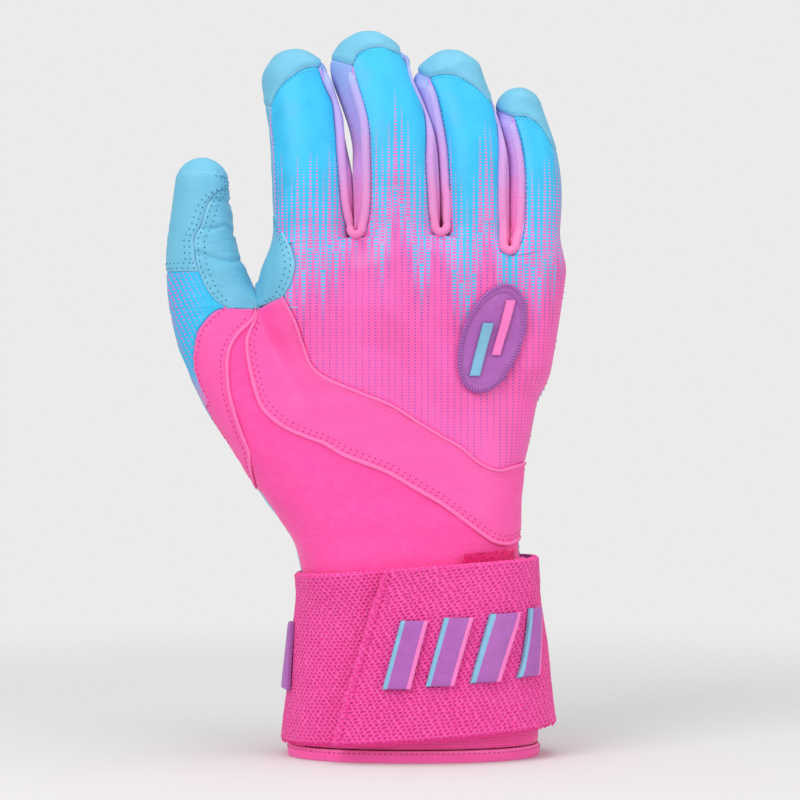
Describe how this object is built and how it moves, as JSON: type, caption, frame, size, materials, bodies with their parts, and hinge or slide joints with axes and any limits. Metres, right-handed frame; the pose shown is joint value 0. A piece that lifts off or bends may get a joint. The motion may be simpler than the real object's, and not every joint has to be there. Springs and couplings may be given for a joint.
{
  "type": "batting glove",
  "caption": "Right-hand batting glove with leather fingertips, knit finger walls, a stretch wrist and a peel-off wrist strap.",
  "frame": {"origin": "under the middle of the whole glove, level with the cuff rim that it stands on", "axes": "+Z from the cuff to the fingertips, -Y out of the back of the hand, +X from the thumb to the little finger"},
  "size_m": [0.1334, 0.0624, 0.2414],
  "materials": {
    "printed_fabric": "cyan synthetic leather fading to pink through a halftone print, satin",
    "pink_panel": "smooth pink synthetic leather, soft sheen",
    "pink_knit": "pink stretch knit, matt",
    "blue_leather": "pale blue sheepskin, fine grain, perforated at the thumb",
    "rib_knit": "fine ribbed stretch fabric, lavender fading to pink, matt",
    "hem_fabric": "pink bound hem with one row of stitches",
    "strap_elastic": "pink woven elastic with a dotted surface",
    "hook_tape": "hook tape",
    "loop_tape": "brushed loop tape",
    "purple_rubber": "moulded satin rubber",
    "blue_rubber": "moulded satin rubber",
    "pink_rubber": "moulded satin rubber"
  },
  "bodies": {
    "hand": {"back_panel": "printed_fabric", "web_gusset": "blue_leather", "wrist_band": "pink_panel", "wrist_knit": "pink_knit", "thumb_saddle": "pink_panel", "thumb_print": "printed_fabric", "upper_piping": "pink_panel", "lower_piping": "pink_panel", "saddle_piping": "pink_panel", "palm_leather": "blue_leather", "thumb_base_leather": "blue_leather", "cuff_hem": "hem_fabric", "cuff_sleeve": "pink_knit", "strap_band": "strap_elastic", "loop_patch": "loop_tape", "side_bar": "purple_rubber", "crest_plate": "purple_rubber", "crest_bar_left": "blue_rubber", "crest_bar_right": "pink_rubber"},
    "index": {"index_back": "printed_fabric", "index_wall_thumb_side": "blue_leather", "index_wall_little_side": "rib_knit", "index_leather": "blue_leather"},
    "middle": {"middle_back": "printed_fabric", "middle_wall_thumb_side": "rib_knit", "middle_wall_little_side": "rib_knit", "middle_leather": "blue_leather"},
    "ring": {"ring_back": "printed_fabric", "ring_wall_thumb_side": "rib_knit", "ring_wall_little_side": "rib_knit", "ring_leather": "blue_leather"},
    "little": {"little_back": "printed_fabric", "little_wall_thumb_side": "rib_knit", "little_leather": "blue_leather"},
    "thumb": {"thumb_print_top": "printed_fabric", "thumb_inner_leather": "blue_leather", "thumb_back_leather": "blue_leather"},
    "flap": {"strap_flap": "strap_elastic", "hook_pad": "hook_tape", "flap_bar_1": "purple_rubber", "flap_bar_2": "purple_rubber", "flap_bar_3": "purple_rubber", "flap_bar_4": "purple_rubber"}
  },
  "joints": [
    {"name": "index_bend", "type": "hinge", "parent": "hand", "child": "index", "pos_m": [-0.018, 0.01518, 0.17136], "axis": [-1, 0, 0], "range_deg": [0, 75]},
    {"name": "middle_bend", "type": "hinge", "parent": "hand", "child": "middle", "pos_m": [0.0102, 0.01536, 0.17136], "axis": [-1, 0, 0], "range_deg": [0, 75]},
    {"name": "ring_bend", "type": "hinge", "parent": "hand", "child": "ring", "pos_m": [0.0359, 0.01558, 0.17136], "axis": [-1, 0, 0], "range_deg": [0, 75]},
    {"name": "little_bend", "type": "hinge", "parent": "hand", "child": "little", "pos_m": [0.05622, 0.01452, 0.17136], "axis": [-1, 0, 0], "range_deg": [0, 75]},
    {"name": "thumb_bend", "type": "hinge", "parent": "hand", "child": "thumb", "pos_m": [-0.05203, 0.01942, 0.14836], "axis": [-1, 0, 0], "range_deg": [0, 50]},
    {"name": "flap_peel", "type": "hinge", "parent": "hand", "child": "flap", "pos_m": [0.06409, 0.00168, 0.03808], "axis": [-0.106, 0, 0.9944], "range_deg": [0, 110]}
  ]
}
